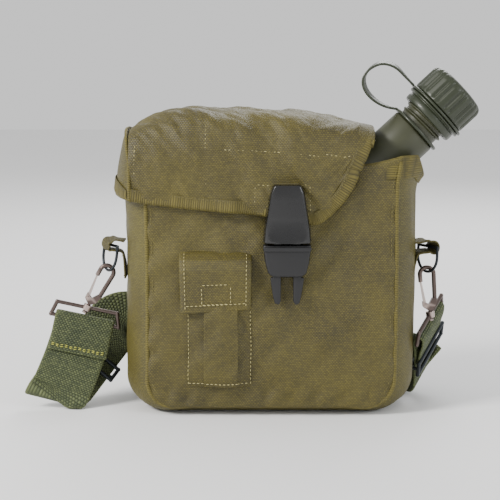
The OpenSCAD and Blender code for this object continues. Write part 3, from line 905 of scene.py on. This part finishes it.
def pocket_point(u, v):
    """u runs round the pouch: left side, pleat, face, pleat, right side; v runs up it."""
    z = 23 + 95 * v
    x_keys = [(0, PX0), (0.12, PX0 + 0.4), (0.2, PX0 + 13), (0.23, PX0 + 12), (0.77, PX1 - 9.5),
              (0.8, PX1 - 10.5), (0.88, PX1 - 0.4), (1, PX1)]
    y_keys = [(0, -37.5), (0.12, -41.5), (0.2, -43.2), (0.23, -46.2), (0.5, -47.2), (0.77, -46.2),
              (0.8, -43.6), (0.88, -41.5), (1, -37.5)]
    x, y = lerp_table(x_keys, u), lerp_table(y_keys, u)
    shrink = 1 - 0.35 * max(0.0, 1 - v * 9) ** 2
    y = -38 + (y + 38) * shrink - panel_bulge(x / SEAM_HALF, z / RIM) * 0.8
    fold = 0.9 * fold_noise(x + z * 0.3, 0, z * 0.5, 18, 41) * math.sin(u * math.pi)
    return x + 0.5 * fold_noise(0, x, z, 22, 5), y - fold, z


finish_piece("pocket_pouch", grid_piece(90, 60, pocket_point), nylon, "cover",
             ("pocket_body",), thick=1.1, levels=1)


def pocket_flap_point(u, v, lift=0.0):
    """v runs from the hem up to the seam on the front panel."""
    x_left = -67.6 + 1.8 * (1 - v) * 0.6
    x_right = -13.3 - 0.6 * (1 - v)
    x = x_left + (x_right - x_left) * u
    z = 81.5 + 44 * v + (1 - v) * 1.6 * (1 - u) * -1 + 1.5 * u * (1 - v)
    y = lerp_table([(0, -50.6), (0.7, -50.6), (0.86, -48.0), (0.95, -43.5), (1, -40.2)], v)
    y += 0.6 * fold_noise(x + z * 0.4, 0, z, 17, 51) * (1 - v)
    edge = abs(u * 2 - 1) ** 10 * 1.8
    return x, y + edge * (1 - v * 0.4) - lift - 0.8 * math.sin(u * math.pi), z


finish_piece("pocket_flap_cloth", grid_piece(50, 46, pocket_flap_point), nylon,
             "pocket_lid", ("pocket_flap",), thick=1.3, levels=1)


def on_pocket_flap(u, v):
    x, y, z = pocket_flap_point(u, v, 0.75)
    return x, y, z, 0, -1, 0


def on_pocket(u, v):
    x, y, z = pocket_point(u, v)
    return x, y - 0.75, z, 0, -1, 0


N = 40
flap_rows = {
    "left": [on_pocket_flap(0.075, 0.06 + 0.92 * k / N) for k in range(N + 1)],
    "right": [on_pocket_flap(0.925, 0.06 + 0.92 * k / N) for k in range(N + 1)],
    "hem": [on_pocket_flap(0.08 + 0.84 * k / N, 0.12) for k in range(N + 1)],
    "patch_b": [on_pocket_flap(0.31 + 0.4 * k / N, 0.13) for k in range(N + 1)],
    "patch_t": [on_pocket_flap(0.31 + 0.4 * k / N, 0.46) for k in range(N + 1)],
    "patch_l": [on_pocket_flap(0.31, 0.13 + 0.33 * k / N) for k in range(N + 1)],
    "patch_r": [on_pocket_flap(0.71, 0.13 + 0.33 * k / N) for k in range(N + 1)],
}
for name, pts in flap_rows.items():
    stitch_row("pocket_flap_stitch_" + name, pts, thread, "pocket_lid", 3.2, 2.3, 0.3)
pouch_rows = {
    "left": [on_pocket(0.1, 0.02 + 0.95 * k / N) for k in range(N + 1)],
    "right": [on_pocket(0.9, 0.02 + 0.95 * k / N) for k in range(N + 1)],
    "bottom": [on_pocket(0.09 + 0.82 * k / N, 0.035) for k in range(N + 1)],
}
for name, pts in pouch_rows.items():
    stitch_row("pocket_stitch_" + name, pts, thread, "cover", 3.2, 2.3, 0.3)
for node, y, body in (("loop_patch", -48.0, "cover"), ("hook_patch", -48.9, "pocket_lid")):
    bm = grid_piece(12, 8, lambda u, v, y=y: (-49 + 23 * u, y, 86.5 + 13 * v))
    finish_piece(node + "_pile", bm, velcro, body, (node,), thick=0.4)
print("clip and pocket done")

# %% [markdown]
# ## The bottle, its neck and the cap
# The bottle is a soft pebbled pillow. Its neck, cap and the two retainer rings are turned shapes, so
# each is one profile spun about the neck's axis. The neck's thread is a real helix.

# %% bottle
NECK_AT = Vector((125.4, 0, 226.9))
NECK_TURN = Matrix.Rotation(math.radians(47), 4, "Y")


def neck_matrix():
    m = NECK_TURN.copy()
    m.translation = NECK_AT * MM
    return m


bm = bmesh.new()
bmesh.ops.create_cube(bm, size=2)
bmesh.ops.subdivide_edges(bm, edges=list(bm.edges), cuts=26, use_grid_fill=True)
for v in bm.verts:
    p = v.co.copy()
    core = Vector((max(-1, min(1, p.x * 1.45)) * 65, 0, 102.5 + max(-1, min(1, p.z * 1.35)) * 67.5))
    n = p.normalized()
    swell = 29.2 + 1.2 * fold_noise(p.x * 90, p.y * 40, p.z * 80, 38, 61)
    v.co = (core + n * swell) * MM
finish_piece("bottle_body", bm, bottle_plastic, "cover", ("bladder",), levels=1)


def turned(profile, segments=96):
    """Spins a profile of (radius, height) in mm about the neck axis."""
    bm = bmesh.new()
    verts = [bm.verts.new((r * MM, 0, h * MM)) for r, h in profile]
    edges = [bm.edges.new(pair) for pair in zip(verts, verts[1:])]
    bmesh.ops.spin(bm, geom=verts + edges, cent=(0, 0, 0), axis=(0, 0, 1), angle=math.tau, steps=segments,
                   use_merge=True)
    bmesh.ops.remove_doubles(bm, verts=bm.verts, dist=1e-6)
    return bm


def thread_height(angle, h, z0, z1, pitch, depth):
    """Height of a rounded helical ridge at this angle and height."""
    turn = (h / pitch - angle / math.tau) % 1.0
    ridge = max(0.0, math.cos((turn - 0.5) * math.tau)) ** 0.7
    fade = max(0.0, min(1.0, (h - z0) / 3)) * max(0.0, min(1.0, (z1 - h) / 3))
    return depth * ridge * fade


profile = [(13.8, -40), (13.8, 17.6), (14.6, 18), (16.2, 18), (16.6, 17.4)]
profile += [(16.6, h) for h in [17 - 0.5 * k for k in range(74)]]
profile += [(17.2, -21), (18.6, -21.7), (19, -22.5), (19, -40), (19.2, -52), (21, -60), (25, -68), (28, -74)]
bm = turned(profile, 120)
for v in bm.verts:
    r = math.hypot(v.co.x, v.co.y)
    if 16.4 * MM < r < 16.8 * MM:
        h = v.co.z / MM
        f = 1 + thread_height(math.atan2(v.co.y, v.co.x), h, -17, 15, 5, 2.0) / 16.6
        v.co.x *= f
        v.co.y *= f
bmesh.ops.transform(bm, matrix=neck_matrix(), verts=bm.verts)
finish_piece("bottle_neck", bm, neck_plastic, "cover")

# %% [markdown]
# ### Cap
# The cap has a bead, a thin flange, a groove where the retainer ring turns, and a drum with broad
# flutes in pairs for the fingers. Its closed end is softly domed.

# %% cap
cap_profile = [(19.2, -8.6), (21.6, -9.2), (22.4, -8.4), (22.7, -6), (22.4, -3.6), (21.9, -3), (21.9, -2.2),
               (24.4, -2.1), (24.8, -1.7), (24.8, -0.9), (24.4, -0.5), (22, -0.4), (21.9, 0.5), (21.9, 2.1),
               (23.2, 2.5), (23.7, 3.1), (24, 4)]
cap_profile += [(24, 4 + k * 1.15) for k in range(1, 15)]
cap_profile += [(23.9, 21), (23.4, 22.8), (22.3, 24.4), (20.4, 25.5), (17, 26.1), (10, 26.5), (0, 26.6)]
bm = turned(cap_profile, 192)
for v in bm.verts:
    h = v.co.z / MM
    r = math.hypot(v.co.x, v.co.y)
    if h > 3 and r > 18 * MM:
        ang = (math.atan2(v.co.y, v.co.x) / math.tau * 12 + 0.25) % 1.0
        groove = max(0.0, 1 - abs(ang - 0.3) / 0.13) + max(0.0, 1 - abs(ang - 0.68) / 0.13)
        fade = max(0.0, min(1.0, (h - 3.6) / 2.5)) * max(0.0, min(1.0, (24.6 - h) / 2.5))
        f = 1 - 0.055 * min(1, groove) ** 0.8 * fade
        v.co.x *= f
        v.co.y *= f
bmesh.ops.transform(bm, matrix=neck_matrix(), verts=bm.verts)
finish_piece("screw_cap_shell", bm, cap_plastic, "screw_cap", ("cap",))

ring_profile = [(22.2, 0.2), (22.2, 1.8), (23, 2.05), (25.2, 2.05), (25.9, 1.6), (25.9, 0.5), (25.2, 0.05),
                (23, 0.05), (22.2, 0.2)]
bm = turned(ring_profile, 96)
bmesh.ops.transform(bm, matrix=neck_matrix(), verts=bm.verts)
finish_piece("retainer_top_ring", bm, cap_plastic, "retainer", ("cap_ring",))
low_profile = [(17, -20.8), (17, -19), (17.6, -18.7), (20.8, -18.7), (21.4, -19.1), (21.4, -20.6),
               (20.8, -21), (17.6, -21), (17, -20.8)]
bm = turned(low_profile, 96)
bmesh.ops.transform(bm, matrix=neck_matrix(), verts=bm.verts)
finish_piece("retainer_low_ring", bm, cap_plastic, "cover", ("neck_ring",))


def ribbon(path, width_dirs, width, thick, name, material, body, stands_for=(), nv=10):
    """A flat band along a path (mm). Each point has its own direction across the band."""
    pts = [Vector(p) for p in path]
    dirs = [Vector(d).normalized() for d in width_dirs]
    dist = [0.0]
    for a, b in zip(pts, pts[1:]):
        dist.append(dist[-1] + (b - a).length)
    nu = len(pts) - 1
    bm = bmesh.new()
    bmesh.ops.create_grid(bm, x_segments=nu, y_segments=nv, size=1)
    layer = bm.loops.layers.uv.verify()
    uvs = {}
    for v in bm.verts:
        i = int(round((v.co.x + 1) / 2 * nu))
        k = v.co.y
        a, b = pts[max(0, i - 1)], pts[min(nu, i + 1)]
        t = (b - a).normalized()
        d = (dirs[i] - t * dirs[i].dot(t)).normalized()
        uvs[v] = (k * width / 2 * MM, dist[i] * MM)
        v.co = (pts[i] + d * (k * width / 2)) * MM
        # where it reaches the floor it lies flat
        v.co.z = max(v.co.z, (thick / 2 + 0.3) * MM)
    for f in bm.faces:
        for loop in f.loops:
            loop[layer].uv = uvs[loop.vert]
    obj = finish_piece(name, bm, material, body, stands_for, levels=0, uv=False)
    mod = obj.modifiers.new("thickness", "SOLIDIFY")
    mod.thickness = thick * MM
    mod.offset = 0
    mod = obj.modifiers.new("smooth", "SUBSURF")
    mod.levels = 1
    mod.render_levels = 1
    return obj, dist[-1]


band_route = [(108.8, 246.4), (103.4, 252.2), (96.9, 259), (90.7, 262.4), (83.5, 262.8), (76, 258.8),
              (71.6, 252.2), (72, 245.2), (76, 238.8), (82.4, 233.5), (89.4, 230.2), (96.6, 228.6)]
band_pts = smooth_path([(x, 0, z) for x, z in band_route], 6)
twist = [math.sin(k / (len(band_pts) - 1) * math.pi) for k in range(len(band_pts))]
band_dirs = [(0.34 * t, 1, 0.3 * t) for t in twist]
band, _ = ribbon(band_pts, band_dirs, 8.5, 1.8, "retainer_band", cap_plastic,
                 None, ("cap_band",))
print("bottle done")

# %% [markdown]
# ## Side tabs
# On each gusset a strip of webbing is folded round the bar of a wire ring, and its tails are sewn down.
# Webbing this short keeps its width, so it is one flat band carried along a bent path.

# %% tabs


def tab(name, side, bar, node):
    bx, bz = bar
    gx = side * 110.6
    loop = [(gx, bz + 3.5), (bx - side * 3.5, bz + 4.6), (bx, bz + 3.9), (bx + side * 2.8, bz + 2.6),
            (bx + side * 3.7, bz - 0.4), (bx + side * 2.2, bz - 3.2), (bx - side * 1.5, bz - 3.6),
            (gx + side * 2.6, bz - 5), (gx + side * 0.8, bz - 11), (gx, bz - 18), (gx - side * 0.2, bz - 25)]
    path = smooth_path([(x, 0, z) for x, z in loop], 5)
    turned_by = [0.5 * max(0.0, min(1.0, (abs(p.x) - abs(gx)) / 8)) for p in path]
    ribbon(path, [(-t, 1, 0) for t in turned_by], 19, 1.5, name, olive_webbing,
           "cover", (node,))
    for dz in (-8, -23):
        x = gx + side * (1.9 if dz == -8 else 0.7)
        row = [(x, -7.5 + 15 * k / 12, bz + dz, side, 0, 0) for k in range(13)]
        stitch_row(name + "_stitch" + str(-dz), row, thread_dark, "cover", 3, 2.2, 0.3, 0.2)


tab("tab_left_webbing", -1, (-121.5, 124.5), "tab_left")
tab("tab_right_webbing", 1, (122, 123.5), "tab_right")

# %% [markdown]
# ## Shoulder strap
# The strap is one long webbing band. It is sewn round the wire loop under each snap hook. The
# middle of it, which is out of sight, lies in standing folds close behind the cover.

# %% strap
L_AT, L_TURN = Vector((-142.9, 0, 65.3)), (-18.0, 12.0, 0)
R_AT, R_TURN = Vector((124.8, 5.5, 62.2)), (16.9, -30.0, 58.7)
STRAP_W, STRAP_T = 46.0, 2.2


def turn_matrix(turn):
    rx, ry, rz = (math.radians(t) for t in turn)
    return Matrix.Rotation(rz, 3, "Z") @ Matrix.Rotation(ry, 3, "Y") @ Matrix.Rotation(rx, 3, "X")


EYE = [(-1.35, -27), (-1.5, -20), (-2.4, -12), (-3.5, -4), (-3.0, 2.0), (0, 3.7), (3.0, 2.0), (3.5, -4),
       (2.2, -12), (1.3, -20), (1.0, -30), (0, -42)]


def run_points(at, turn, ends):
    m = turn_matrix(turn)
    w = m @ Vector((1, 0, 0))
    return [(at + m @ Vector((0, y, z)), w) for y, z in EYE + ends]


left = run_points(L_AT, L_TURN, [(0, -50), (0, -56)])
for i in range(6, len(left)):
    p, w = left[i]
    drop = (L_AT.z - p.z) / 60
    left[i] = (p + Vector((-9 * drop * drop, 0, 0)), w)
back_at, back_along = Vector((-156, -6, 18)), Vector((0.452, 0.718, 0.529))
back_across = Vector((0.76, 0, -0.65))
left += [(Vector((-165, -19.5, 8.2)), Vector((0.98, 0.03, -0.22))),
         (Vector((-165, -15.5, 7.2)), Vector((0.95, 0.03, -0.28))),
         (Vector((-162, -10.5, 12)), Vector((0.86, 0.02, -0.48)))]
left += [(back_at + back_along * d, back_across) for d in (4, 18, 30, 44, 58, 68)]
left += [(Vector((-116, 49, 57)), Vector((0.5, 0, -0.86))),
         (Vector((-101, 50.5, 52)), Vector((0.2, 0, -0.98))),
         (Vector((-86, 48.5, 36)), Vector((0.05, 0, -1)))]
RUNS, RUN_HALF, RUN_GAP, Y_FIRST, Z_MID = 7, 72, 4.5, 44.5, 24.6
bundle = []
for k in range(RUNS):
    y = Y_FIRST + k * RUN_GAP
    way = 1 if k % 2 == 0 else -1
    reach = RUN_HALF + 3 * math.sin(k * 2.1)
    for i in range(7):
        x = way * (-reach + 2 * reach * i / 6)
        bow = 0.8 * math.sin(i / 6 * math.pi) * math.sin(k * 1.7)
        bundle.append((Vector((x, y + bow, Z_MID)), Vector((0, 0.02, 1))))
    if k < RUNS - 1:
        for t in (0.25, 0.5, 0.75):
            ang = math.pi * (t - 0.5)
            x = way * (reach + 3.4 * math.cos(ang))
            bundle.append((Vector((x, y + RUN_GAP / 2 * (1 + math.sin(ang)), Z_MID)),
                           Vector((0, 0.02, 1))))
right = run_points(R_AT, R_TURN, [(0, -52)])
right += [(Vector((123.5, 42, 18.5)), Vector((0.4, 0.6, 0.68))),
          (Vector((119, 51, 21)), Vector((0.2, 0.3, 0.93))),
          (Vector((106, 60, 23)), Vector((0, 0.1, 1))),
          (Vector((90, 69, 24.6)), Vector((0, 0, 1)))]
route = left + bundle + right[::-1]
pts, dirs = [], []
pos = smooth_path([p for p, d in route], 5)
n_seg = 5
for i, p in enumerate(pos):
    k, t = divmod(i, n_seg)
    d0 = route[k][1]
    d1 = route[min(k + 1, len(route) - 1)][1]
    if d0.dot(d1) < 0:
        d1 = -d1
        route[min(k + 1, len(route) - 1)] = (route[min(k + 1, len(route) - 1)][0], d1)
    pts.append(p)
    dirs.append(d0.lerp(d1, t / n_seg))
strap, strap_len = ribbon(pts, dirs, STRAP_W, STRAP_T, "shoulder_strap", strap_webbing,
                          "cover", ("strap_left", "strap_right", "strap_bundle"), nv=12)
print("strap length, mm", round(strap_len))

for name, at, turn in (("left", L_AT, L_TURN), ("right", R_AT, R_TURN)):
    m = turn_matrix(turn)
    out = m @ Vector((0, -1, 0))
    for j, zz in enumerate((-23.5, -22.2)):
        row = []
        for k in range(31):
            p = at + m @ Vector((-21.5 + 43 * k / 30, -2.75, zz + 0.5 * math.sin(k * 0.9 + j)))
            row.append((*p, *out))
        stitch_row("strap_stitch_%s_%d" % (name, j), row, thread_yellow, "cover",
                   3.6, 2.7, 0.42)

# %% [markdown]
# ## Metalwork
# The rings, snap hooks, gates, wire loops and slides keep their CAD shapes, which carry the pivots.
# They only need metal: dark enamel on the wire, worn nickel on the hooks, a brighter gate.

# %% metal on the CAD nodes


def dress(material, *nodes):
    for node in nodes:
        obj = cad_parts[node]
        obj.data.materials.clear()
        obj.data.materials.append(material)


dress(hook_metal, "hook_left", "hook_right", "link_left", "link_right", "gate_pin_left", "gate_pin_right")
dress(gate_metal, "gate_left", "gate_right")
dress(wire_metal, "ring_left", "ring_right", "slide_left", "slide_right")
dress(rubber, "cap_seal")

# %% [markdown]
# ## Floor, light and camera
# A pale seamless floor, a soft key from the upper left, a weaker fill and a rim light from
# behind, as for a product photograph. The camera looks slightly down on the front.

# %% stage
bm = bmesh.new()
bmesh.ops.create_grid(bm, x_segments=1, y_segments=1, size=4)
floor_mesh = bpy.data.meshes.new("floor")
bm.to_mesh(floor_mesh)
bm.free()
floor = bpy.data.objects.new("floor", floor_mesh)
bpy.context.scene.collection.objects.link(floor)
floor_mat = bpy.data.materials.new("floor_paper")
floor_mat.use_nodes = True
ft = floor_mat.node_tree
fb = ft.nodes["Principled BSDF"]
fn = ft.nodes.new("ShaderNodeTexNoise")
fn.inputs["Scale"].default_value = 3
fr = ft.nodes.new("ShaderNodeValToRGB")
fr.color_ramp.elements[0].color = (0.84, 0.84, 0.84, 1)
fr.color_ramp.elements[1].color = (0.9, 0.9, 0.9, 1)
ft.links.new(fn.outputs[0], fr.inputs[0])
ft.links.new(fr.outputs[0], fb.inputs["Base Color"])
fb.inputs["Roughness"].default_value = 0.9
floor_mesh.materials.append(floor_mat)


def area(name, where, target, size, power, tint=(1, 1, 1)):
    data = bpy.data.lights.new(name, "AREA")
    data.size = size
    data.energy = power
    data.color = tint
    obj = bpy.data.objects.new(name, data)
    obj.location = where
    aim = Vector(target) - Vector(where)
    obj.rotation_euler = aim.to_track_quat("-Z", "Y").to_euler()
    bpy.context.scene.collection.objects.link(obj)


area("key", (-1.35, -0.85, 1.15), (0, 0, 0.12), 0.5, 42, (1, 0.98, 0.95))
area("fill", (1.3, -1.0, 0.7), (0, 0, 0.1), 0.7, 10, (0.95, 0.97, 1))
area("rim", (0.3, 1.2, 1.1), (0, 0, 0.15), 0.8, 12)
world = bpy.data.worlds.new("studio") if bpy.context.scene.world is None else bpy.context.scene.world
bpy.context.scene.world = world
world.use_nodes = True
world.node_tree.nodes["Background"].inputs[0].default_value = (1, 1, 1, 1)
world.node_tree.nodes["Background"].inputs[1].default_value = 0.9

# %% camera
ELEVATION, AZIMUTH, DISTANCE = math.radians(8), math.radians(0), 1.03
TARGET = Vector((-14.8, -38, 125.8)) * MM
cam_data = bpy.data.cameras.new("camera")
cam_data.lens = 100
cam_data.sensor_width = 36
cam = bpy.data.objects.new("camera", cam_data)
away = Vector((-math.sin(AZIMUTH) * math.cos(ELEVATION), -math.cos(AZIMUTH) * math.cos(ELEVATION),
               math.sin(ELEVATION)))
cam.location = TARGET + away * DISTANCE
cam.rotation_euler = (-away).to_track_quat("-Z", "Y").to_euler()
bpy.context.scene.collection.objects.link(cam)
bpy.context.scene.camera = cam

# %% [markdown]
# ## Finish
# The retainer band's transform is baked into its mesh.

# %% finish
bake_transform(band)
